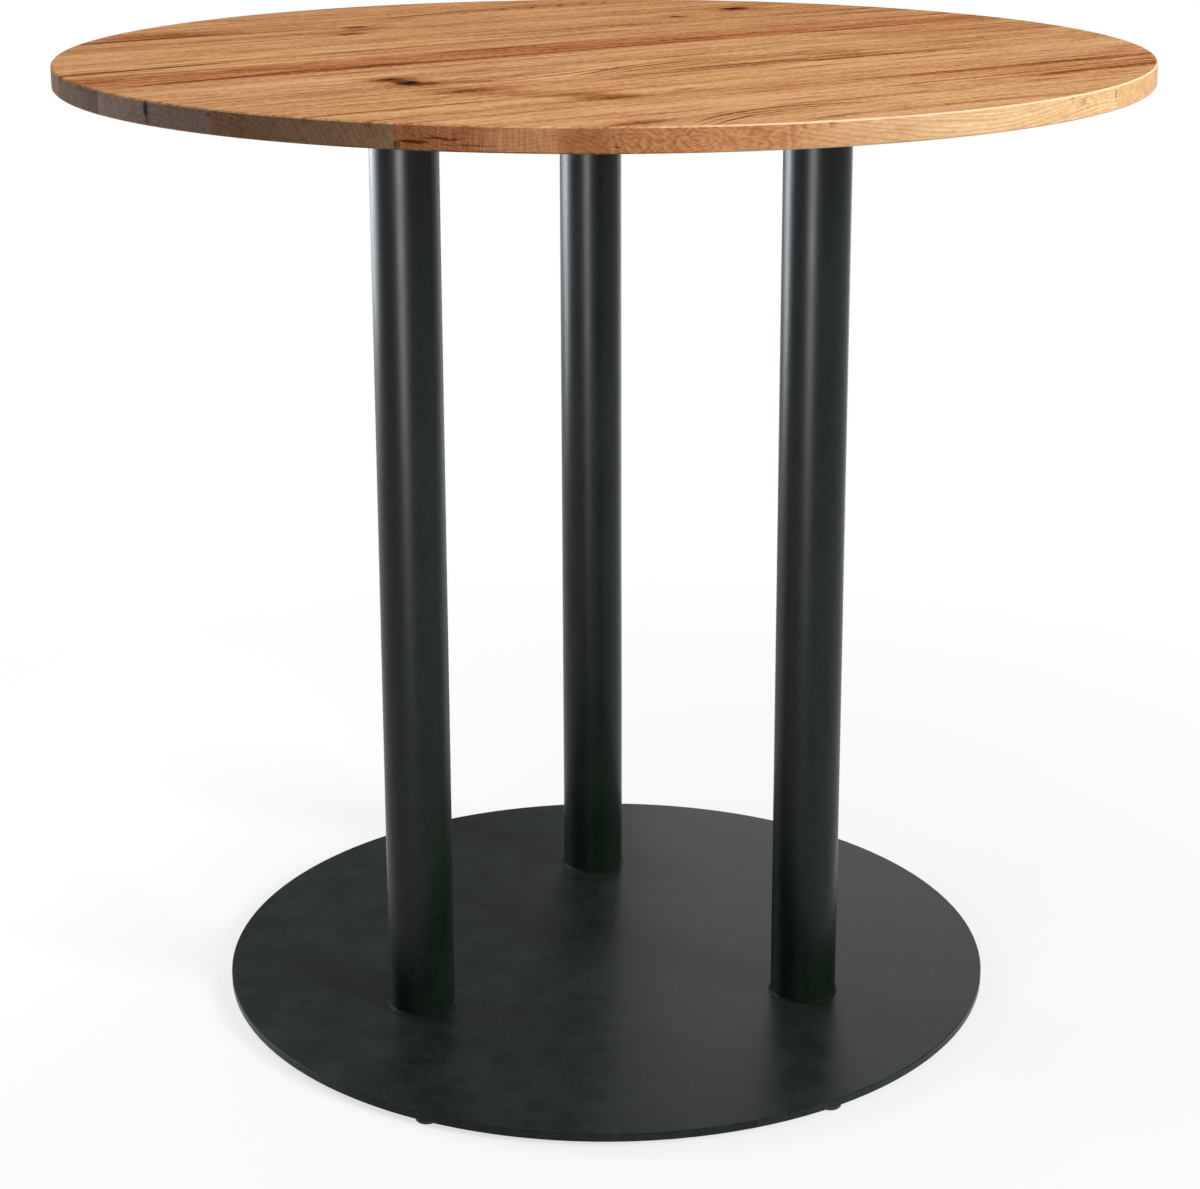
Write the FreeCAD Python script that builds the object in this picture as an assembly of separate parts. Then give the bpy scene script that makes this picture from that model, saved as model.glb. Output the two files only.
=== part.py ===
"""Round pub table: a solid timber top on three steel columns that stand on a flat round steel plate.

The base is one weldment: plate, three tubes and a three-armed spider under the top. The top is boards
of random width glued edge to edge. Screws hold it down through slots in the spider, which are long
across the grain, so that the timber can swell and shrink. Six levelling glides screw into blind
tapped holes in the underside of the plate.

Frame: millimetres, origin on the floor under the table's centre, +Z up, one column on the +Y axis.
"""

import FreeCAD, Part
import math
import os

Vec = FreeCAD.Vector
UP = Vec(0, 0, 1)
CENTRE = Vec(0, 0, 0)
OUT_DIR = "parts"

# ---- Timber top ----
top_diameter = 1220.0
top_thickness = 25.0
top_edge_chamfer = 1.5
grain_angle = 31.0  # direction that the boards run in, from +X towards +Y
# Glue joints between boards of random width: places across the grain, as shares of the top's radius.
board_joint_shares = (-0.918, -0.780, -0.600, -0.300, 0.016, 0.156, 0.249, 0.507, 0.646, 0.830)

# ---- Base plate ----
plate_diameter = 912.0
plate_thickness = 9.5
plate_edge_chamfer = 0.8
vent_diameter = 12.0  # lets air out of each closed tube while it is welded and coated

# ---- Columns ----
column_count = 3
column_diameter = 76.2
column_wall = 2.0
column_length = 1065.0
column_circle_radius = 260.0
first_column_angle = 90.0
foot_weld_leg = 2.5
head_weld_leg = 2.5

# ---- Spider under the top ----
spider_thickness = 6.0
arm_margin = 12.0  # width of the arm beyond each side of a column
arm_reach = 500.0
arm_root_round = 60.0
slot_side_clearance = 0.5
slot_travel = 4.5  # each way across the grain
fixing_side_offset = 30.0  # from the arm's centre line
inner_fixing_gap = 80.0  # from a column's axis towards the centre
outer_fixing_margin = 40.0  # from the arm's tip

# ---- Fixings of the top ----
screw_diameter = 8.0
thread_clearance = 0.05  # radial, between any screw and its thread
screw_head_diameter = 14.0
screw_head_height = 4.4
screw_socket_flats = 5.0
screw_socket_depth = 2.6
screw_tip_gap = 3.0  # from the screw's tip to the end of its insert
washer_lap = 3.0  # washer beyond each end of a slot
washer_thickness = 2.0
washer_play = 0.2  # radial, round the screw
insert_wall = 2.0
insert_length = 15.0
insert_hole_spare = 1.0  # drilled deeper than the insert is long

# ---- Levelling glides ----
glide_count = 6
first_glide_angle = 0.0
glide_edge_inset = 15.0  # from the plate's edge to the glide's axis
pad_diameter = 25.0
pad_height = 4.0
pad_edge_chamfer = 1.2
pad_floor = 1.2  # plastic under the stud's button
pad_lip = 1.0  # plastic that holds the button in
button_diameter = 13.0
neck_diameter = 9.0
swivel_clearance = 0.1
stud_hex_flats = 17.0
stud_hex_thickness = 1.9
stud_diameter = 8.0
tapped_hole_skin = 3.0  # steel left over each tapped hole
tapped_hole_spare = 0.3  # tapped deeper than the stud reaches

# ---- Worked out from the sizes above ----
top_radius = top_diameter / 2
column_radius = column_diameter / 2
slot_width = screw_diameter + 2 * slot_side_clearance
washer_diameter = slot_width + 2 * slot_travel + 2 * washer_lap
hex_bottom_z = pad_height + swivel_clearance
plate_bottom_z = hex_bottom_z + stud_hex_thickness
plate_top_z = plate_bottom_z + plate_thickness
spider_bottom_z = plate_top_z + column_length
top_bottom_z = spider_bottom_z + spider_thickness
top_surface_z = top_bottom_z + top_thickness
screw_seat_z = spider_bottom_z - washer_thickness
insert_end_z = top_bottom_z + insert_length
tapped_hole_top_z = plate_top_z - tapped_hole_skin


def direction(angle):
    """Level unit vector at an angle in degrees from +X."""
    return Vec(math.cos(math.radians(angle)), math.sin(math.radians(angle)), 0)


def around(count, first_angle):
    """Angles of equally spaced places round the table, in degrees."""
    return [first_angle + 360.0 * i / count for i in range(count)]


def at_height(point, z):
    return Vec(point.x, point.y, z)


def rod(point, radius, low, high):
    """Upright cylinder between two heights."""
    return Part.makeCylinder(radius, high - low, at_height(point, low), UP)


def tube(point, outer, inner, low, high):
    """Upright tube between two heights."""
    return rod(point, outer, low, high).cut(rod(point, inner, low, high))


def bar(start, angle, length, width, low, high):
    """Level bar from a point, along an angle, with that line in the middle of its width."""
    box = Part.makeBox(length, width, high - low, Vec(0, -width / 2, low))
    box.rotate(CENTRE, UP, angle)
    box.translate(at_height(start, 0))
    return box


def hex_bar(point, across_flats, low, high):
    """Upright hexagonal bar between two heights."""
    radius = across_flats / math.sqrt(3.0)
    corners = [at_height(point + direction(a) * radius, low) for a in around(6, 0.0)]
    face = Part.Face(Part.makePolygon(corners + corners[:1]))
    return face.extrude(Vec(0, 0, high - low))


def circles_at(shape, *heights):
    """Level edges of a disc that lie at one of the heights."""
    found = []
    for edge in shape.Edges:
        box = edge.BoundBox
        if box.ZLength < 1e-6 and any(abs(box.ZMin - z) < 1e-6 for z in heights):
            found.append(edge)
    return found


def spun(outline, point):
    """Solid of revolution about the upright axis through a point, from a wire in the XZ plane."""
    solid = Part.Face(outline).revolve(CENTRE, UP, 360)
    solid.translate(point)
    return solid


def write(name, shape):
    shape.exportStep(os.path.join(OUT_DIR, name + ".step"))


# ---- Places ----


def column_points():
    return [direction(a) * column_circle_radius for a in around(column_count, first_column_angle)]


def glide_points():
    radius = plate_diameter / 2 - glide_edge_inset
    return [direction(a) * radius for a in around(glide_count, first_glide_angle)]


def fixing_points():
    """Two pairs of screws on each arm of the spider: one inside its column and one near its tip."""
    radii = (column_circle_radius - inner_fixing_gap, arm_reach - outer_fixing_margin)
    points = []
    for angle in around(column_count, first_column_angle):
        for radius in radii:
            for side in (-fixing_side_offset, fixing_side_offset):
                points.append(direction(angle) * radius + direction(angle + 90.0) * side)
    return points


# ---- Timber top ----


def boards():
    """Boards of the top, side by side across the grain, drilled from below for the inserts."""
    top = rod(CENTRE, top_radius, top_bottom_z, top_surface_z)
    top = top.makeChamfer(top_edge_chamfer, circles_at(top, top_bottom_z, top_surface_z))
    hole_top = insert_end_z + insert_hole_spare
    radius = screw_diameter / 2 + insert_wall
    top = top.cut(Part.makeCompound([rod(p, radius, top_bottom_z, hole_top) for p in fixing_points()]))
    edges = [share * top_radius for share in (-1.0, *board_joint_shares, 1.0)]
    made = []
    for near, far in zip(edges, edges[1:]):
        middle = direction(grain_angle + 90.0) * ((near + far) / 2)
        start = middle - direction(grain_angle) * top_radius
        board = bar(start, grain_angle, top_diameter, far - near, top_bottom_z, top_surface_z)
        made.append(top.common(board).Solids[0])
    return made


# ---- Welded base ----


def base_plate():
    """Round plate, with a vent under each column and a blind tapped hole over each glide."""
    plate = rod(CENTRE, plate_diameter / 2, plate_bottom_z, plate_top_z)
    plate = plate.makeChamfer(plate_edge_chamfer, circles_at(plate, plate_bottom_z, plate_top_z))
    holes = [rod(p, vent_diameter / 2, plate_bottom_z, plate_top_z) for p in column_points()]
    holes += [rod(p, stud_diameter / 2, plate_bottom_z, tapped_hole_top_z) for p in glide_points()]
    return plate.cut(Part.makeCompound(holes))


def column(point):
    return tube(point, column_radius, column_radius - column_wall, plate_top_z, spider_bottom_z)


def weld_bead(point, seat_z, leg, up):
    """Fillet weld round a column, in its corner with the plate face at seat_z; up is 1 or -1."""
    corner = Vec(column_radius, 0, seat_z)
    toe = corner + Vec(leg, 0, 0)
    tip = corner + Vec(0, 0, up * leg)
    outline = Part.makePolygon([corner, toe, tip, corner])
    return spun(outline, point)


def spider():
    """Three flat arms in one plate, one over each column, with round tips and filleted roots."""
    width = column_diameter + 2 * arm_margin
    straight = arm_reach - width / 2
    arms = []
    for angle in around(column_count, first_column_angle):
        arms.append(bar(CENTRE, angle, straight, width, spider_bottom_z, top_bottom_z))
        arms.append(rod(direction(angle) * straight, width / 2, spider_bottom_z, top_bottom_z))
    plate = arms[0].fuse(arms[1:]).removeSplitter()
    root_reach = width / 2 / math.sin(math.pi / column_count)
    roots = []
    for edge in plate.Edges:
        upright = edge.BoundBox.ZLength > spider_thickness / 2
        reach = math.hypot(edge.CenterOfMass.x, edge.CenterOfMass.y)
        if upright and abs(reach - root_reach) < 1e-3:
            roots.append(edge)
    plate = plate.makeFillet(arm_root_round, roots)
    return plate.cut(Part.makeCompound([slot(p) for p in fixing_points()]))


def slot(point):
    """Cutter for one slot of the spider, long across the grain."""
    low, high = spider_bottom_z, top_bottom_z
    across = direction(grain_angle + 90.0)
    start = point - across * slot_travel
    end = point + across * slot_travel
    straight = bar(start, grain_angle + 90.0, 2 * slot_travel, slot_width, low, high)
    ends = [rod(place, slot_width / 2, low, high) for place in (start, end)]
    return straight.fuse(ends).removeSplitter()


# ---- Fixings of the top ----


def screw(point):
    """Button-head socket screw, driven up through its washer and the spider into its insert."""
    seat, low = screw_seat_z, screw_seat_z - screw_head_height
    rim = screw_head_diameter / 2
    flat = screw_socket_flats * 0.75
    shoulder = Vec(rim * 0.88, 0, seat - screw_head_height * 0.58)
    dome = Part.Arc(Vec(flat, 0, low), shoulder, Vec(rim, 0, seat)).toShape()
    inside = Part.makePolygon([Vec(rim, 0, seat), Vec(0, 0, seat), Vec(0, 0, low), Vec(flat, 0, low)])
    outline = Part.Wire([dome] + inside.Edges)
    shank = rod(point, screw_diameter / 2 - thread_clearance, seat, insert_end_z - screw_tip_gap)
    socket = hex_bar(point, screw_socket_flats, low, low + screw_socket_depth)
    return spun(outline, point).fuse(shank).cut(socket)


def washer(point):
    bore = screw_diameter / 2 + washer_play
    return tube(point, washer_diameter / 2, bore, screw_seat_z, spider_bottom_z)


def insert(point):
    """Threaded insert, flush with the underside of its board."""
    bore = screw_diameter / 2
    return tube(point, bore + insert_wall, bore, top_bottom_z, insert_end_z)


# ---- Levelling glides ----


def glide_pad(point):
    """Plastic foot with a chamfered tread, and an undercut socket in which the stud's button turns."""
    body = rod(point, pad_diameter / 2, 0, pad_height)
    body = body.makeChamfer(pad_edge_chamfer, circles_at(body, 0))
    lip_bottom = pad_height - pad_lip
    socket = rod(point, button_diameter / 2 + swivel_clearance, pad_floor, lip_bottom)
    mouth = rod(point, neck_diameter / 2 + swivel_clearance, lip_bottom, pad_height)
    return body.cut(socket).cut(mouth)


def glide_stud(point):
    """Steel stud: a button held in the pad, a neck, a thin hexagon for a spanner, and the thread."""
    button_top = pad_height - pad_lip - swivel_clearance
    button = rod(point, button_diameter / 2, pad_floor, button_top)
    neck = rod(point, neck_diameter / 2, button_top, hex_bottom_z)
    hexagon = hex_bar(point, stud_hex_flats, hex_bottom_z, plate_bottom_z)
    thread_top = tapped_hole_top_z - tapped_hole_spare
    thread = rod(point, stud_diameter / 2 - thread_clearance, plate_bottom_z, thread_top)
    return button.fuse([neck, hexagon, thread]).removeSplitter()


def main():
    os.makedirs(OUT_DIR, exist_ok=True)
    for i, board in enumerate(boards(), 1):
        write("top_board_%02d" % i, board)
    write("base_plate", base_plate())
    write("top_spider", spider())
    for i, point in enumerate(column_points(), 1):
        write("column_tube_%d" % i, column(point))
        write("column_foot_weld_%d" % i, weld_bead(point, plate_top_z, foot_weld_leg, 1))
        write("column_head_weld_%d" % i, weld_bead(point, spider_bottom_z, head_weld_leg, -1))
    write("top_screws", Part.makeCompound([screw(p) for p in fixing_points()]))
    write("top_washers", Part.makeCompound([washer(p) for p in fixing_points()]))
    write("top_inserts", Part.makeCompound([insert(p) for p in fixing_points()]))
    for i, point in enumerate(glide_points(), 1):
        write("glide_pad_%d" % i, glide_pad(point))
        write("glide_stud_%d" % i, glide_stud(point))


main()
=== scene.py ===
"""Looks of a round pub table: eleven glued oak boards on three black powder-coated columns and a plate.

Metres, +Z up, origin on the floor under the table's centre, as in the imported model. Places on the
top are given along the grain and across it, both from the table's centre.
"""

import math
from collections import namedtuple

import bpy
from mathutils import Matrix, Vector


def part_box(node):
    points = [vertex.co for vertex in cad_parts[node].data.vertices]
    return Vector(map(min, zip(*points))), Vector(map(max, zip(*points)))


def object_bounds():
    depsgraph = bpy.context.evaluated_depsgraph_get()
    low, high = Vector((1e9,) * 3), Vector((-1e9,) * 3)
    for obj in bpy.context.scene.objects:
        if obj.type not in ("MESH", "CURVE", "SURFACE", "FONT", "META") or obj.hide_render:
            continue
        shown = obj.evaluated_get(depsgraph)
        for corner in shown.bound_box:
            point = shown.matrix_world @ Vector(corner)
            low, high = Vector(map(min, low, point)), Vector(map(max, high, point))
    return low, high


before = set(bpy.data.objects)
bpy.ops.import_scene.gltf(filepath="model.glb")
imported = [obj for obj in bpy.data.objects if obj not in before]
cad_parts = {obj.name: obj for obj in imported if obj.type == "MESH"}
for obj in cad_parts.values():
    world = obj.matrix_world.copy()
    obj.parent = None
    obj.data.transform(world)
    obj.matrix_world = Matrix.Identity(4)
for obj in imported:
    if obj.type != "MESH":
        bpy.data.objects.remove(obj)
cad_low, cad_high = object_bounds()

MM = 0.001

# ---- The top: its sizes come from the frame, and its boards run at this angle from +X ----
GRAIN_ANGLE = math.radians(31.0)
ACROSS = Vector((-math.sin(GRAIN_ANGLE), math.cos(GRAIN_ANGLE), 0))
BOARD_NAMES = sorted(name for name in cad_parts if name.startswith("top_board_"))
TOP_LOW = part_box(BOARD_NAMES[0])[0].z
TOP_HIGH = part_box(BOARD_NAMES[0])[1].z
TOP_RADIUS = max(cad_high.x, cad_high.y)


def across_range(name):
    """Lowest and highest place of a board across the grain."""
    places = [vertex.co.dot(ACROSS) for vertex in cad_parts[name].data.vertices]
    return min(places), max(places)


# ---- Node graphs ----

# A noise: its cycles per metre along each axis, the seed that it adds to its material's, its detail
# and roughness, and how far it goes each way where it swings about zero.
Noise = namedtuple("Noise", "cycles seed detail roughness swing", defaults=(0.5, 0.0))
NOISE_MEAN = 0.5


class Graph:
    """One material's node tree. A socket is fed a number, a colour, a vector or another socket."""

    def __init__(self, name):
        self.material = bpy.data.materials.new(name)
        self.material.use_nodes = True
        self.tree = self.material.node_tree
        self.tree.nodes.clear()

    def feed(self, socket, value):
        if isinstance(value, bpy.types.NodeSocket):
            self.tree.links.new(value, socket)
        else:
            socket.default_value = value

    def node(self, kind, inputs, **settings):
        made = self.tree.nodes.new("ShaderNode" + kind)
        for name, value in settings.items():
            setattr(made, name, value)
        for key, value in inputs.items():
            self.feed(made.inputs[key], value)
        return made

    def math(self, operation, first, second=0.0, clamp=False):
        inputs = {0: first, 1: second}
        return self.node("Math", inputs, operation=operation, use_clamp=clamp).outputs[0]

    def total(self, *terms):
        joined = terms[0]
        for term in terms[1:]:
            joined = self.math("ADD", joined, term)
        return joined

    def product(self, *terms):
        joined = terms[0]
        for term in terms[1:]:
            joined = self.math("MULTIPLY", joined, term)
        return joined

    def minus(self, first, second):
        return self.math("SUBTRACT", first, second)

    def ratio(self, first, second):
        return self.math("DIVIDE", first, second)

    def place(self):
        """Place in the part's own frame."""
        return self.node("TexCoord", {}).outputs["Object"]

    def vector(self, x, y=0.0, z=0.0):
        return self.node("CombineXYZ", {0: x, 1: y, 2: z}).outputs[0]

    def parts(self, vector):
        return self.node("SeparateXYZ", {0: vector}).outputs

    def measure(self, operation, first, second=(0, 0, 0)):
        """A length or a dot product."""
        return self.node("VectorMath", {0: first, 1: second}, operation=operation).outputs["Value"]

    def length(self, x, y, z=0.0):
        return self.measure("LENGTH", self.vector(x, y, z))

    def smooth(self, value, start, end, low=0.0, high=1.0):
        """Low at start, high at end, eased in between and level beyond them."""
        inputs = {0: value, 1: start, 2: end, 3: low, 4: high}
        return self.node("MapRange", inputs, interpolation_type="SMOOTHSTEP").outputs[0]

    def within(self, away, size, edge, most=1.0):
        """None at edge[0] sizes away, most at edge[1] sizes."""
        return self.smooth(away, edge[0] * size, edge[1] * size, 0.0, most)

    def linear(self, value, start, end, low, high):
        """Low at start, high at end, straight in between and level beyond them."""
        return self.node("MapRange", {0: value, 1: start, 2: end, 3: low, 4: high}).outputs[0]

    def between(self, share, low, high):
        """Low where the share is 0 and high where it is 1."""
        return self.linear(share, 0.0, 1.0, low, high)

    def noise(self, place, kind, seed=0.0):
        """Noise from 0 to 1, about its mean."""
        start = seed + kind.seed
        moves = {"Vector": place, "Scale": kind.cycles, "Location": (start, -start, start / 2)}
        moved = self.node("Mapping", moves).outputs[0]
        inputs = {"Vector": moved, "Scale": 1.0, "Detail": kind.detail, "Roughness": kind.roughness}
        return self.node("TexNoise", inputs).outputs[0]

    def swing(self, place, kind, seed=0.0):
        """Noise made to swing about zero."""
        return self.product(self.off_mean(place, kind, seed), kind.swing / NOISE_MEAN)

    def off_mean(self, place, kind, seed):
        return self.minus(self.noise(place, kind, seed), NOISE_MEAN)

    def ramp(self, value, stops):
        node = self.node("ValToRGB", {0: value})
        elements = node.color_ramp.elements
        while len(elements) > 1:
            elements.remove(elements[-1])
        elements[0].position, elements[0].color = stops[0][0], (*stops[0][1], 1.0)
        for place, colour in stops[1:]:
            elements.new(place).color = (*colour, 1.0)
        return node.outputs[0]

    def opaque(self, colour):
        """A plain colour gets the alpha that its socket asks for; a socket stays as it is."""
        return colour if isinstance(colour, bpy.types.NodeSocket) else (*colour, 1.0)

    def mix(self, factor, first, second, blend="MIX"):
        inputs = {0: factor, 6: self.opaque(first), 7: self.opaque(second)}
        return self.node("Mix", inputs, data_type="RGBA", blend_type=blend).outputs[2]

    def bump(self, height, distance):
        """Bumped normal; the height is a share of the distance, which is in metres."""
        return self.node("Bump", {"Height": height, "Distance": distance, "Strength": 1.0}).outputs[0]

    def finish(self, **sockets):
        """Principled surface; a double underscore in a socket's name stands for a space."""
        inputs = {name.replace("__", " "): value for name, value in sockets.items()}
        shader = self.node("BsdfPrincipled", inputs)
        self.node("OutputMaterial", {0: shader.outputs[0]})
        return self.material


# ---- What the boards carry ----

# Places on the face are along the grain and across it, from the table's centre. Places on the rim are
# an angle in degrees from +X and a height above the top's underside. A depth is how far a mark moves
# the colour from pale to dark; below zero it pales the wood.

# A line or band along the grain: its place across at its middle, how far it rises across per metre
# along, half its width, where it starts and ends, and its depth.
Stripe = namedtuple("Stripe", "across rise half start end depth")
# Nested arches of growth rings: place of the outermost crown, half its span, how far its feet drop,
# how far in the arches go, and depth.
Arch = namedtuple("Arch", "along across span drop reach depth")
# A knot: place along and across, radius across the grain, that radius as a share of the one along it,
# depth of colour, and whether a crack is open in it.
Knot = namedtuple("Knot", "along across radius squat depth crack")
# A soft patch: place along and across, half its length, half its width, how far it rises across per
# metre along, and depth.
Patch = namedtuple("Patch", "along across long wide rise depth")
# A mark on the rim: angle and height of its middle, half its width, half its height, and depth.
RimMark = namedtuple("RimMark", "angle height wide tall depth")
# A blue-black stain on the rim, given as a mark is; its depth is its colour's share.
RimStain = namedtuple("RimStain", "angle height wide tall depth")
# Swirled grain on the rim, given as a mark is.
RimSwirl = namedtuple("RimSwirl", "angle height wide tall depth")
# A board's own figure: how dark it is, how much darker it grows per metre along the grain, how red it
# is, how wide a growth ring is, how strong the saw marks on its low end are, its pith (across from the
# board's middle, and above it), the tints of its rim at the low and the high end of the grain, and
# its marks. The low end's tint is partly the duller colour of end grain and partly a painted cool
# reflection and shade, greyer and bluer, on that side of the rim.
Figure = namedtuple("Figure", "tone lean red ring sawn pith low_rim high_rim marks")

# End grain greyed and blued: partly its own duller colour, partly a painted cool reflection and shade.
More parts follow.
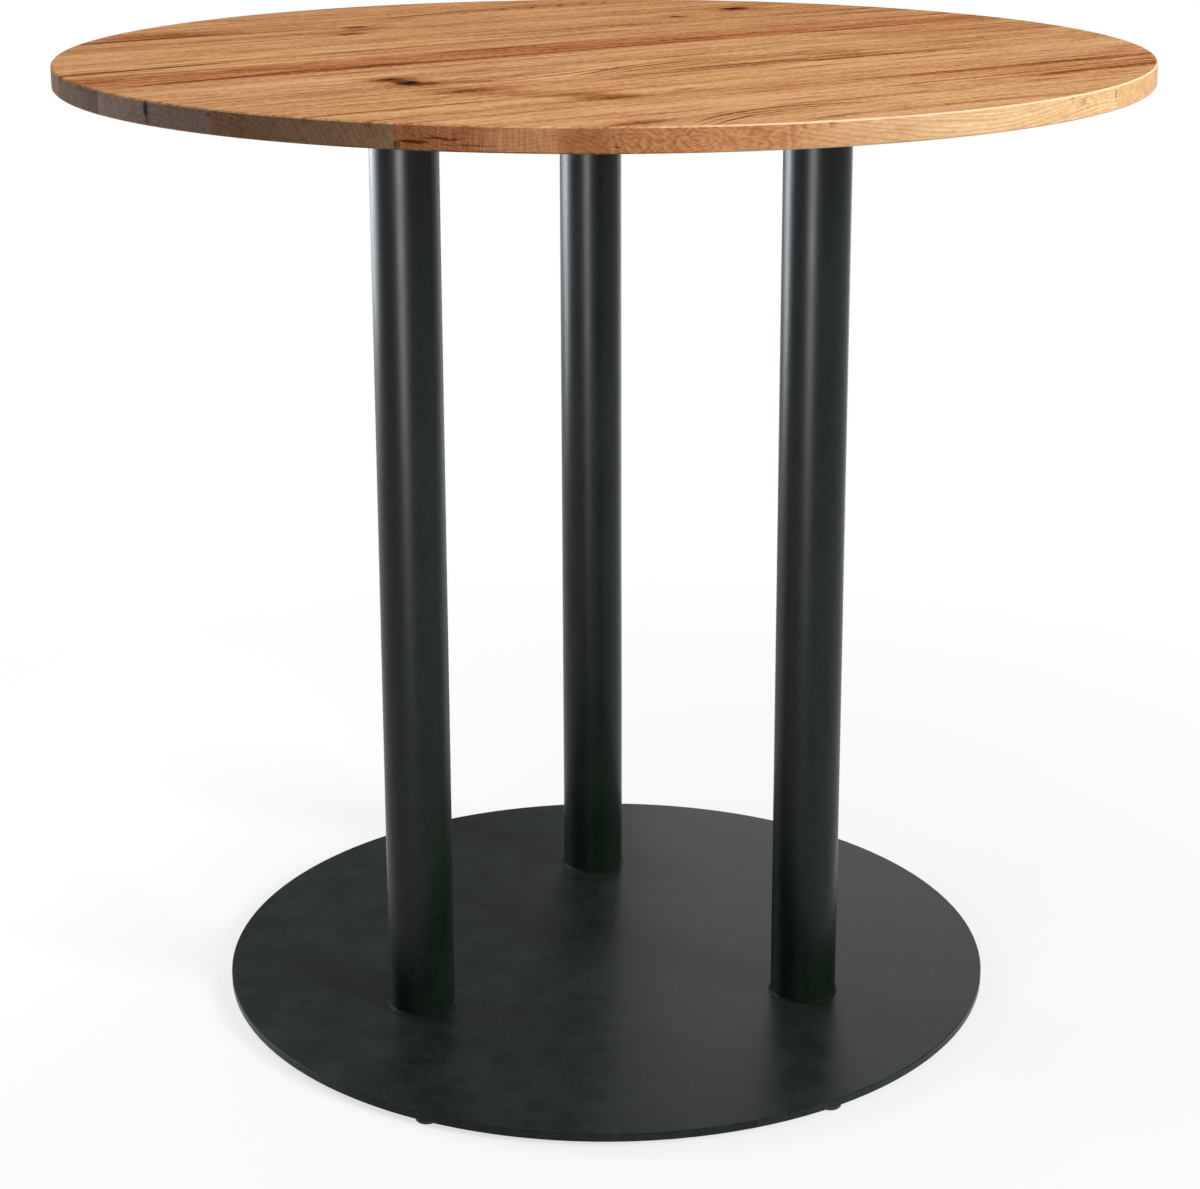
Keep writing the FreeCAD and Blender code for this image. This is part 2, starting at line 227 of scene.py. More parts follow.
GREY_END_AND_COOL_REFLECTION = (0.42, 0.46, 0.62)
PALE_END = (0.92, 1.10, 1.25)
FIGURES = {
    "top_board_01": Figure(
        tone=-0.08, lean=0.0, red=0.2, ring=3.8 * MM, sawn=0, pith=(0.03, -0.07),
        low_rim=(0.74, 0.63, 0.60), high_rim=(0.96, 1.20, 1.40),
        marks=(
            Arch(-0.01, -0.553, 0.20, 0.030, 0.030, 0.57),
            RimSwirl(-79.0, 0.0130, 0.0300, 0.0170, 0.26),
            RimMark(-82.5, 0.015, 0.012, 0.004, -0.30),
            RimMark(-43.1, 0.0168, 0.006, 0.004, 0.30),
            RimMark(-36.2, 0.0155, 0.0012, 0.006, 0.80),
        ),
    ),
    "top_board_02": Figure(
        tone=-0.06, lean=0.0, red=0.15, ring=3.6 * MM, sawn=0, pith=(0.05, -0.06),
        low_rim=(0.77, 0.64, 0.59), high_rim=PALE_END,
        marks=(
            Stripe(-0.480, -0.05, 0.0050, -0.16, 0.10, 0.27),
            Arch(-0.14, -0.484, 0.13, 0.045, 0.055, 0.57),
            Patch(-0.305, -0.497, 0.045, 0.020, 0.00, 0.37),
            Patch(0.212, -0.480, 0.040, 0.007, 0.00, 0.37),
            Patch(0.020, -0.520, 0.160, 0.025, 0.00, -0.12),
            RimSwirl(-86.2, 0.0100, 0.0380, 0.0170, 0.26),
            RimSwirl(-91.4, 0.0080, 0.0240, 0.0150, 0.26),
            RimMark(-95.5, 0.0120, 0.0260, 0.0200, 0.22),
            RimMark(-83.6, 0.0125, 0.0200, 0.0300, -0.12),
            RimMark(-93.0, 0.0049, 0.0020, 0.0012, -0.50),
            RimMark(-91.8, 0.0121, 0.0016, 0.0010, -0.50),
            RimMark(-92.6, 0.0065, 0.0030, 0.0008, 0.60),
        ),
    ),
    "top_board_03": Figure(
        tone=-0.03, lean=0.08, red=0.25, ring=4.2 * MM, sawn=1, pith=(-0.02, 0.09),
        low_rim=(0.85, 0.74, 0.66), high_rim=PALE_END,
        marks=(
            Stripe(-0.368, 0.00, 0.0037, -0.06, 0.62, 0.41),
            Stripe(-0.380, 0.00, 0.0112, 0.10, 0.62, 0.31),
            Stripe(-0.412, 0.02, 0.0075, 0.22, 0.60, 0.42),
            Stripe(-0.427, 0.00, 0.0050, 0.08, 0.60, 0.48),
            Stripe(-0.443, 0.03, 0.0130, 0.22, 0.60, 0.52),
            Stripe(-0.435, 0.00, 0.0300, 0.18, 0.62, 0.07),
            Stripe(-0.460, 0.00, 0.0050, -0.34, -0.18, 0.44),
            Stripe(-0.452, -0.08, 0.0037, -0.16, 0.02, 0.34),
            Patch(-0.310, -0.440, 0.070, 0.018, 0.00, 0.14),
            RimStain(-111.8, 0.0050, 0.0035, 0.0045, 0.65),
            RimMark(-112.4, 0.0050, 0.0050, 0.0040, 0.95),
            RimMark(-110.4, 0.0085, 0.0160, 0.0018, 0.70),
            RimMark(-107.6, 0.0120, 0.0200, 0.0015, 0.55),
            RimMark(-105.4, 0.0065, 0.0300, 0.0012, 0.30),
            RimMark(-108.0, 0.0125, 0.0500, 0.0300, 0.27),
        ),
    ),
    "top_board_04": Figure(
        tone=0.0, lean=0.0, red=0.2, ring=4.6 * MM, sawn=0.35, pith=(0.07, -0.08),
        low_rim=(0.60, 0.68, 0.92), high_rim=PALE_END,
        marks=(
            Stripe(-0.192, 0.00, 0.0050, -0.06, 0.24, 0.63),
            Stripe(-0.206, -0.03, 0.0125, -0.02, 0.36, 0.36),
            Stripe(-0.221, -0.04, 0.0063, 0.12, 0.46, 0.29),
            Stripe(-0.187, 0.02, 0.0030, -0.60, -0.18, 0.34),
            Stripe(-0.253, 0.00, 0.0037, 0.04, 0.14, 0.31),
            Stripe(-0.260, 0.00, 0.0050, 0.20, 0.38, 0.29),
            Stripe(-0.289, 0.00, 0.0037, -0.56, -0.30, 0.44),
            Stripe(-0.345, 0.00, 0.0050, -0.54, -0.36, 0.41),
            Patch(-0.300, -0.212, 0.060, 0.020, 0.00, 0.34),
            Patch(-0.275, -0.265, 0.085, 0.045, -0.85, 0.31),
            Patch(-0.226, -0.328, 0.046, 0.034, -0.20, 0.40),
            Patch(-0.420, -0.330, 0.120, 0.030, 0.00, -0.14),
            Patch(-0.130, -0.328, 0.022, 0.007, 0.25, 0.32),
            Patch(-0.110, -0.347, 0.018, 0.005, 0.00, 0.28),
            Patch(-0.160, -0.250, 0.120, 0.050, 0.00, 0.10),
            Patch(0.250, -0.256, 0.040, 0.006, 0.00, 0.26),
        ),
    ),
    "top_board_05": Figure(
        tone=-0.01, lean=0.09, red=0.2, ring=5.2 * MM, sawn=0.35, pith=(-0.03, -0.11),
        low_rim=(0.57, 0.77, 1.36), high_rim=PALE_END,
        marks=(
            Stripe(0.004, 0.00, 0.0050, -0.62, 0.62, 0.24),
            Stripe(-0.048, 0.00, 0.0037, 0.05, 0.26, 0.36),
            Stripe(-0.174, 0.00, 0.0050, 0.28, 0.42, 0.48),
            Stripe(-0.140, 0.20, 0.0040, -0.22, -0.05, -0.34),
            Stripe(-0.149, 0.20, 0.0030, -0.21, -0.06, 0.30),
            Stripe(-0.157, 0.20, 0.0040, -0.20, -0.08, -0.30),
            Arch(0.05, -0.118, 0.22, 0.060, 0.060, 0.62),
            Patch(-0.265, -0.155, 0.040, 0.018, -0.40, 0.30),
            Patch(-0.450, -0.150, 0.130, 0.025, 0.00, 0.12),
            Patch(-0.380, -0.060, 0.160, 0.040, 0.00, -0.08),
            Patch(0.480, -0.080, 0.190, 0.080, 0.00, 0.19),
            Knot(-0.328, -0.124, 0.023, 1.5, 0.95, True),
            Knot(-0.329, -0.087, 0.0085, 0.6, 0.85, True),
            Knot(-0.310, -0.140, 0.007, 1.0, 0.4, False),
            RimStain(-140.8, 0.0170, 0.0050, 0.009, 0.85),
            RimStain(-140.6, 0.0060, 0.0040, 0.008, 0.40),
            RimMark(-131.8, 0.019, 0.0030, 0.002, 0.60),
        ),
    ),
    "top_board_06": Figure(
        tone=0.21, lean=-0.02, red=0.9, ring=3.4 * MM, sawn=0, pith=(0.02, 0.12),
        low_rim=(0.43, 0.66, 1.20), high_rim=PALE_END,
        marks=(
            Stripe(0.028, 0.10, 0.0037, -0.54, -0.31, 0.78),
            Stripe(0.022, 0.00, 0.0050, -0.30, 0.16, 0.40),
            Stripe(0.014, 0.00, 0.0050, 0.30, 0.46, 0.61),
            Stripe(0.040, 0.00, 0.0150, -0.34, 0.62, 0.14),
            Stripe(0.020, 0.06, 0.0125, -0.62, -0.20, 0.24),
            Stripe(0.060, 0.00, 0.0063, -0.62, -0.30, 0.18),
            Stripe(0.055, 0.00, 0.0450, -0.70, 0.06, 0.10),
            Patch(-0.275, 0.032, 0.050, 0.011, 0.00, 0.24),
            Patch(-0.100, 0.085, 0.050, 0.010, 0.00, 0.27),
        ),
    ),
    "top_board_07": Figure(
        tone=-0.01, lean=0.10, red=0.2, ring=4.4 * MM, sawn=0, pith=(0.06, 0.05),
        low_rim=(0.31, 0.35, 0.48), high_rim=PALE_END,
        marks=(
            Stripe(0.098, 0.00, 0.0050, -0.62, 0.62, 0.24),
            Stripe(0.139, 0.05, 0.0063, -0.64, -0.41, 0.78),
            Patch(0.400, 0.115, 0.200, 0.020, 0.00, 0.12),
        ),
    ),
    "top_board_08": Figure(
        tone=0.03, lean=0.20, red=0.25, ring=5.0 * MM, sawn=0, pith=(-0.06, -0.07),
        low_rim=GREY_END_AND_COOL_REFLECTION, high_rim=PALE_END,
        marks=(
            Stripe(0.155, 0.00, 0.0050, -0.27, 0.08, 0.53),
            Stripe(0.154, 0.02, 0.0037, -0.42, -0.22, 0.31),
            Stripe(0.184, 0.03, 0.0050, -0.50, -0.36, 0.44),
            Stripe(0.212, -0.02, 0.0037, -0.08, 0.56, 0.29),
            Stripe(0.198, 0.00, 0.0037, 0.05, 0.56, 0.24),
            Stripe(0.238, 0.00, 0.0037, -0.40, -0.26, 0.29),
            Knot(0.290, 0.256, 0.009, 0.8, 0.5, False),
            Knot(0.411, 0.299, 0.017, 0.8, 0.95, True),
            Patch(0.480, 0.220, 0.090, 0.040, 0.00, 0.12),
        ),
    ),
    "top_board_09": Figure(
        tone=0.02, lean=0.0, red=0.3, ring=4.8 * MM, sawn=0, pith=(0.05, -0.05),
        low_rim=GREY_END_AND_COOL_REFLECTION, high_rim=PALE_END,
        marks=(
            Stripe(0.290, -0.02, 0.0037, -0.56, -0.36, 0.48),
            Stripe(0.312, 0.00, 0.0037, -0.30, -0.14, 0.34),
            Patch(-0.440, 0.325, 0.100, 0.025, 0.00, 0.14),
            Knot(-0.145, 0.318, 0.018, 0.8, 0.42, False),
            Knot(-0.102, 0.384, 0.015, 0.8, 0.46, False),
        ),
    ),
    "top_board_10": Figure(
        tone=0.08, lean=0.06, red=0.45, ring=4.2 * MM, sawn=0, pith=(0.09, 0.06),
        low_rim=GREY_END_AND_COOL_REFLECTION, high_rim=PALE_END,
        marks=(
            Stripe(0.408, 0.03, 0.0075, -0.46, -0.27, 0.75),
            Stripe(0.398, 0.00, 0.0037, -0.27, -0.14, 0.44),
            Arch(0.13, 0.487, 0.20, 0.055, 0.045, 0.53),
            Patch(-0.340, 0.440, 0.100, 0.028, 0.00, 0.36),
            Patch(0.300, 0.465, 0.120, 0.020, -0.30, 0.14),
            Patch(0.158, 0.462, 0.015, 0.007, 1.00, 0.34),
            Patch(0.206, 0.464, 0.013, 0.006, 1.10, 0.30),
            Patch(0.252, 0.468, 0.016, 0.008, 1.00, 0.36),
            Patch(0.292, 0.470, 0.012, 0.006, 1.20, 0.28),
            Patch(0.322, 0.466, 0.013, 0.006, 1.00, 0.30),
            Stripe(0.470, 0.16, 0.0060, 0.00, 0.14, 0.26),
        ),
    ),
    "top_board_11": Figure(
        tone=0.06, lean=0.0, red=0.4, ring=4.6 * MM, sawn=0, pith=(-0.02, 0.1),
        low_rim=GREY_END_AND_COOL_REFLECTION, high_rim=PALE_END,
        marks=(),
    ),
}


# ---- Marks ----

# Where a point of a board is: in the part's own frame, in the grain's frame, its three parts there, and
# the slow drift and the small waves of the grain at it.
Where = namedtuple("Where", "place grain along across up wobble ripple")

# In this part an EDGE holds two shares of a mark's size: its darkness starts at the first of them and
# is whole at the second.

STRIPE_EDGE = (1.2, 0.3)
STRIPE_FADE = 0.12  # longest fade at a stripe's ends
STRIPE_FADE_SHARE = 0.6  # the fade is at most this share of the stripe's length
STRIPE_RAGGED = 14.0  # how strongly the grain's wobble moves the ends


def stripe_depth(g, mark, at):
    """Darkness of one stripe: soft across, with ragged ends."""
    middle = (mark.start + mark.end) / 2
    course = g.total(g.product(g.minus(at.along, middle), mark.rise), mark.across)
    aside = g.math("ABSOLUTE", g.minus(g.total(at.across, at.wobble), course))
    body = g.within(aside, mark.half, STRIPE_EDGE)
    fade = min(STRIPE_FADE, STRIPE_FADE_SHARE * (mark.end - mark.start)) / 2
    ragged = g.total(at.along, g.product(at.wobble, STRIPE_RAGGED))
    start = g.smooth(ragged, mark.start - fade, mark.start + fade)
    end = g.smooth(ragged, mark.end + fade, mark.end - fade)
    return g.product(body, start, end, mark.depth)


ARCH_LINES = 4.5  # arches in one set
ARCH_LINE_START = (0.0, 0.16)  # shares of the pitch over which a line darkens
ARCH_LINE_END = (0.75, 0.25)  # and over which it fades again
ARCH_RIM = 2 * MM  # how far the outermost arch's edge is eased, each way
ARCH_INNER_EDGE = (1.0, 0.5)
ARCH_SIDE_EDGE = (1.1, 0.7)
ARCH_PATCHES = Noise((7.0, 110.0, 1.0), 0.0, 1.0)
ARCH_STRENGTH = (0.35, 0.65, 0.25, 1.25)  # noise from and to, strength from and to


def arch_depth(g, mark, at):
    """Darkness of a set of nested arches, evenly spaced inward from the outermost."""
    x = g.ratio(g.minus(at.along, mark.along), mark.span)
    foot = g.product(x, x, mark.drop)
    inward = g.minus(mark.across, g.total(at.across, at.wobble, foot))
    phase = g.math("FRACT", g.product(g.ratio(inward, mark.reach), ARCH_LINES))
    line = g.product(g.smooth(phase, *ARCH_LINE_START), g.smooth(phase, *ARCH_LINE_END))
    near = g.smooth(inward, -ARCH_RIM, ARCH_RIM)
    far = g.within(inward, mark.reach, ARCH_INNER_EDGE)
    ends = g.within(g.math("ABSOLUTE", x), 1.0, ARCH_SIDE_EDGE)
    patches = g.noise(g.vector(at.along, inward), ARCH_PATCHES, mark.along)
    return g.product(line, near, far, ends, g.linear(patches, *ARCH_STRENGTH), mark.depth)


PATCH_EDGE = (1.25, 0.25)
PATCH_WAVES = 2.5  # how strongly the grain's wobble moves a patch's sides


def patch_depth(g, mark, at):
    """Darkness of one soft patch."""
    reach = g.minus(at.along, mark.along)
    x = g.ratio(reach, mark.long)
    course = g.total(g.product(reach, mark.rise), mark.across)
    aside = g.total(g.minus(at.across, course), g.product(at.wobble, PATCH_WAVES))
    return g.within(g.length(x, g.ratio(aside, mark.wide)), 1.0, PATCH_EDGE, mark.depth)


SKIN = 8 * MM  # how deep a rim mark goes
RIM_WAVES = 0.8  # how strongly the grain's ripple moves a rim mark
RIM_EDGE = (1.25, 0.45)
SWIRL_CURL = Noise((38.0, 38.0, 60.0), 0.0, 2.0, 0.5, 1.1)
SWIRL_RINGS = 2.6  # rings from a swirl's middle to its edge
SWIRL_LINE_START = (0.0, 0.3)  # shares of the pitch, as in an arch
SWIRL_LINE_END = (0.95, 0.4)
SWIRL_PALE = 0.35  # share of the depth by which the wood between the rings pales
SWIRL_EDGE = (1.5, 0.7)


def rim_away(g, mark, at):
    """How far a point is from the middle of a rim mark, where 1 is its edge on each of its axes."""
    angle = math.radians(mark.angle)
    outward = Vector((math.cos(angle), math.sin(angle), 0))
    sideways = Vector((-outward.y, outward.x, 0))
    spot = tuple(outward * TOP_RADIUS)
    away = g.node("VectorMath", {0: at.place, 1: spot}, operation="SUBTRACT").outputs[0]
    x = g.measure("DOT_PRODUCT", away, tuple(sideways))
    deep = g.measure("DOT_PRODUCT", away, tuple(outward))
    y = g.minus(g.total(at.up, g.product(at.ripple, RIM_WAVES)), TOP_LOW + mark.height)
    return g.length(g.ratio(x, mark.wide), g.ratio(y, mark.tall), g.ratio(deep, SKIN))


def rim_depth(g, mark, at):
    """Darkness of a plain mark or a stain on the rim."""
    return g.product(g.within(rim_away(g, mark, at), 1.0, RIM_EDGE), mark.depth)


def swirl_depth(g, mark, at):
    """Darkness of curled grain on the rim, in rings that close on the mark's middle."""
    away = rim_away(g, mark, at)
    curl = g.swing(at.place, SWIRL_CURL, mark.angle)
    phase = g.math("FRACT", g.product(g.total(away, curl), SWIRL_RINGS))
    line = g.product(g.smooth(phase, *SWIRL_LINE_START), g.smooth(phase, *SWIRL_LINE_END))
    return g.product(g.minus(line, SWIRL_PALE), g.within(away, 1.0, SWIRL_EDGE), mark.depth)


KNOT_WAVES = 1.6  # how strongly the grain's ripple moves a knot's outline
KNOT_PUSH_EDGE = (3.2, 0.0)
KNOT_PUSH = 1.3  # how far the rings are pushed aside, in the knot's radii
KNOT_EDGE = (1.25, 0.45)
KNOT_HALO_EDGE = (3.2, 0.8)
KNOT_HALO = 0.35  # the halo's share of the knot's depth
KNOT_HEART_EDGE = (0.9, 0.35)
KNOT_HEART = 0.85  # blackness of its heart, times the square of its depth
CRACK_SLANT = -0.9
CRACK_EDGE = (0.45, 0.15)
CRACK_END_EDGE = (1.1, 0.7)


def knot_parts(g, mark, at):
    """Push on the rings, darkness and blackness (its heart and its crack) of one knot."""
    x = g.minus(at.along, mark.along)
    y = g.total(g.minus(at.across, mark.across), g.product(at.ripple, KNOT_WAVES))
    away = g.length(g.product(x, mark.squat), y)
    push = g.within(away, mark.radius, KNOT_PUSH_EDGE, KNOT_PUSH * mark.radius)
    depth = g.within(away, mark.radius, KNOT_EDGE, mark.depth)
    halo = g.within(away, mark.radius, KNOT_HALO_EDGE, KNOT_HALO * mark.depth)
    black = g.within(away, mark.radius, KNOT_HEART_EDGE, KNOT_HEART * mark.depth ** 2)
    if mark.crack:
        skewed = g.total(y, g.product(x, CRACK_SLANT))
        thin = g.within(g.math("ABSOLUTE", skewed), mark.radius, CRACK_EDGE)
        crack = g.product(thin, g.within(away, mark.radius, CRACK_END_EDGE))
        black = g.math("MAXIMUM", black, crack)
    return push, g.total(depth, halo), black


# Below the face, its marks are gone at the first depth and whole at the second.
FACE_SKIN = (9 * MM, 2 * MM)
FACE_DEPTHS = {Stripe: stripe_depth, Arch: arch_depth, Patch: patch_depth}
RIM_DEPTHS = {RimMark: rim_depth, RimSwirl: swirl_depth}


def join_marks(g, marks, at):
    """Darkness, blackness and blue stain of all of a board's marks, and the pushes on its rings."""
    near_face = g.smooth(at.up, TOP_HIGH - FACE_SKIN[0], TOP_HIGH - FACE_SKIN[1])
    depths = [0.0]
    rim_depths = [0.0]
    blacks = [0.0]
    stains = [0.0]
    pushes = []
    for mark in marks:
        kind = type(mark)
        if kind in FACE_DEPTHS:
            depths.append(FACE_DEPTHS[kind](g, mark, at))
        elif kind in RIM_DEPTHS:
            rim_depths.append(RIM_DEPTHS[kind](g, mark, at))
        elif kind is RimStain:
            stains.append(rim_depth(g, mark, at))
        else:
            push, depth, black = knot_parts(g, mark, at)
            pushes.append(push)
            depths.append(depth)
            blacks.append(black)
    marked = g.total(g.product(g.total(*depths), near_face), g.total(*rim_depths))
    cracked = g.product(g.total(*blacks), near_face)
    return marked, cracked, g.total(*stains), pushes


# ---- Oak ----

# In this part a RANGE holds two values: something is none at the first and whole at the second.

# The grain's course: slow drift, small waves, and the log's own bends, in metres.
WOBBLE = Noise((3.0, 10.0, 10.0), 3.1, 3.0, 0.6, 4.0 * MM)
RIPPLE = Noise((9.0, 60.0, 60.0), 8.4, 2.0, 0.5, 2.5 * MM)
BEND = Noise((1.1, 4.0, 4.0), 1.7, 2.0, 0.5, 22.0 * MM)

# How far the pith drifts back across and down per metre along, how many rings the uneven years shift
# the rings by, and where in a year the early wood ends and the next year's starts.
PITH_DRIFT = (0.02, 0.035)
YEARS = Noise((55.0, 1.0, 1.0), 0.0, 1.0)
YEARS_SHIFT = 3.0
EARLY_END_RANGE = (0.42, 0.08)
EARLY_START_RANGE = (0.93, 1.0)


def growth_rings(g, figure, at, middle, pushes, seed):
    """Share of early wood, and the place along the grain, round the pith and out from it."""
    level = (TOP_LOW + TOP_HIGH) / 2
    aside = g.minus(g.total(at.across, g.product(at.along, PITH_DRIFT[0])), middle + figure.pith[0])
    above = g.minus(g.total(at.up, g.product(at.along, PITH_DRIFT[1])), level + figure.pith[1])
    outward = g.total(g.length(0.0, aside, above), *pushes)
    year = g.noise(g.vector(outward), YEARS, seed)
    rings = g.total(g.ratio(outward, figure.ring), g.product(year, YEARS_SHIFT))
    phase = g.math("FRACT", rings)
    ending = g.smooth(phase, *EARLY_END_RANGE)
    early = g.math("MAXIMUM", ending, g.smooth(phase, *EARLY_START_RANGE))
    return early, g.vector(at.along, g.math("ARCTAN2", aside, above), outward)


# Thin dark veins, in patches: a vein lies where its noise is near its mean.
VEIN = Noise((1.6, 55.0, 55.0), 12.0, 2.0)
VEIN_RANGE = (0.030, 0.006)
VEIN_PATCHES = Noise((2.4, 20.0, 20.0), 13.0, 1.0)
VEIN_PATCH_RANGE = (0.46, 0.60)


def vein_share(g, at, seed):
    vein = g.smooth(g.math("ABSOLUTE", g.off_mean(at.grain, VEIN, seed)), *VEIN_RANGE)
    patch = g.smooth(g.noise(at.grain, VEIN_PATCHES, seed), *VEIN_PATCH_RANGE)
    return g.product(vein, patch)


# Pores, fainter in the late wood.
PORE = Noise((55.0, 900.0, 900.0), 9.0, 1.0)
PORE_RANGE = (0.58, 0.68)
LATE_PORES = 0.25


def pore_share(g, at, early, seed):
    pore = g.smooth(g.noise(at.grain, PORE, seed), *PORE_RANGE)
    return g.product(pore, g.between(early, LATE_PORES, 1.0))


# Pale rays, which run out from the pith.
RAY = Noise((14.0, 26.0, 10.0), 2.0, 2.0)
RAY_RANGE = (0.035, 0.0)


def ray_share(g, ray_place, seed):
    return g.smooth(g.math("ABSOLUTE", g.off_mean(ray_place, RAY, seed)), *RAY_RANGE)


# Saw marks, given round the rim and up, on the rim's low end.
SAWN_RANGE = (-0.28, -0.38)
COMB = Noise((620.0, 14.0, 1.0), 14.0, 2.0, 0.6, 0.42)
FLECK = Noise((800.0, 90.0, 1.0), 15.0, 1.0)
FLECK_TONE = (0.62, 0.74, 0.0, -0.30)  # noise from and to, tone from and to


def sawn_tone(g, at, rim_share, seed):
    """Tone of the upright saw marks, with pale ray flecks between them."""
    x, y, _ = g.parts(at.place)
    round_place = g.product(g.math("ARCTAN2", y, x), TOP_RADIUS)
    upright = g.vector(round_place, at.up)
    comb = g.swing(upright, COMB, seed)
    fleck = g.smooth(g.noise(upright, FLECK, seed), *FLECK_TONE)
    low_end = g.product(rim_share, g.smooth(at.along, *SAWN_RANGE))
    return g.product(g.total(comb, fleck), low_end)


# The colours from pale to dark, each at its tone.
OAK_STOPS = (
    (0.0, (0.78, 0.465, 0.218)),
    (0.25, (0.64, 0.335, 0.150)),
    (0.5, (0.515, 0.240, 0.100)),
    (0.75, (0.375, 0.136, 0.045)),
    (1.0, (0.185, 0.056, 0.014)),
)
OAK_RED = (1.0, 0.88, 0.84)
OAK_YELLOW = (1.0, 1.01, 0.965)
OAK_PINK = (1.0, 0.985, 1.03)
REDNESS = Noise((1.3, 9.0, 9.0), 4.0, 2.0)
MARK_REDNESS = 0.8
HUE = Noise((2.2, 14.0, 14.0), 16.0, 3.0, 0.6)
HUE_RANGE = (0.36, 0.64)


def oak_colour(g, figure, at, tone, marked, seed):
    """Oak of that tone, with drifts of red, yellow and pink."""
    colour = g.ramp(tone, OAK_STOPS)
    warm = g.product(g.noise(at.grain, REDNESS, seed), figure.red / NOISE_MEAN)
    warm = g.math("ADD", warm, g.product(marked, MARK_REDNESS), clamp=True)
    colour = g.mix(warm, colour, OAK_RED, "MULTIPLY")
    hue = g.smooth(g.noise(at.grain, HUE, seed), *HUE_RANGE)
    return g.mix(1.0, colour, g.mix(hue, OAK_YELLOW, OAK_PINK), "MULTIPLY")


# The rim and the chamfers are told by how level the surface is, which is the upright part of its normal.
RIM_RANGE = (0.8, 0.3)
RIM_TINT_RANGE = (-0.26, 0.0)  # places along the grain
ARRIS_LOW_RANGE = (0.45, 0.65)
ARRIS_HIGH_RANGE = (0.95, 0.78)
# A painted highlight on the chamfer, pale over most of the rim and gone at the low end of the grain.
ARRIS_HIGHLIGHT_COLOUR = (0.92, 0.72, 0.54)
ARRIS_HIGHLIGHT_ALONG = (-0.36, -0.20, 0.0, 0.55)  # place along from and to, paleness from and to


def tint_edges(g, figure, at, colour, levelness, rim_share):
    """The colour with the rim's tint, partly a painted cool reflection, and a painted highlight on the
    chamfer.
    """
    rim_tint = g.mix(g.smooth(at.along, *RIM_TINT_RANGE), figure.low_rim, figure.high_rim)
    colour = g.mix(rim_share, colour, rim_tint, "MULTIPLY")
    arris = g.product(g.smooth(levelness, *ARRIS_LOW_RANGE), g.smooth(levelness, *ARRIS_HIGH_RANGE))
    arris_highlight_share = g.product(arris, g.smooth(at.along, *ARRIS_HIGHLIGHT_ALONG))
    return g.mix(arris_highlight_share, colour, ARRIS_HIGHLIGHT_COLOUR)


# Figure along the grain, from broad streaks to specks.
BROAD = Noise((1.0, 18.0, 18.0), 5.0, 3.0, 0.55, 0.44)
STREAK = Noise((2.4, 70.0, 70.0), 6.0, 4.0, 0.68, 0.66)
DASH = Noise((17.0, 210.0, 210.0), 7.0, 2.0, 0.6, 0.42)
PEPPER = Noise((110.0, 330.0, 330.0), 10.0, 1.0, 0.5, 0.50)

# What each thing adds to the tone, which goes from 0 (pale) to 1 (dark).
BASE_TONE = 0.25
EARLY_TONE = 0.13
RIM_EARLY_TONE = (-0.3, 0.3, 0.15, 0.22)  # place along from and to, tone from and to
RIM_STREAK_SHARE = 0.35  # how much of the streaks shows on the rim
VEIN_TONE = 0.32
PORE_TONE = 0.14
RAY_TONE = -0.08

CRACK_BLACK = (0.012, 0.009, 0.008)
STAIN_BLUE = (0.020, 0.030, 0.052)

OAK_ROUGHNESS = 0.5
PORE_ROUGHNESS = 0.2
RIM_ROUGHNESS = 0.15
LACQUER_FACE = 0.08
LACQUER_RIM = 0.02
LACQUER_ROUGHNESS = 0.35

# The relief's depth, and its parts as shares of it.
RELIEF = 0.15 * MM
RELIEF_BASE = 0.6
RELIEF_PORES = -0.35
RELIEF_EARLY = -0.12
RELIEF_CRACKS = -3.0
RELIEF_DASHES = -1.0


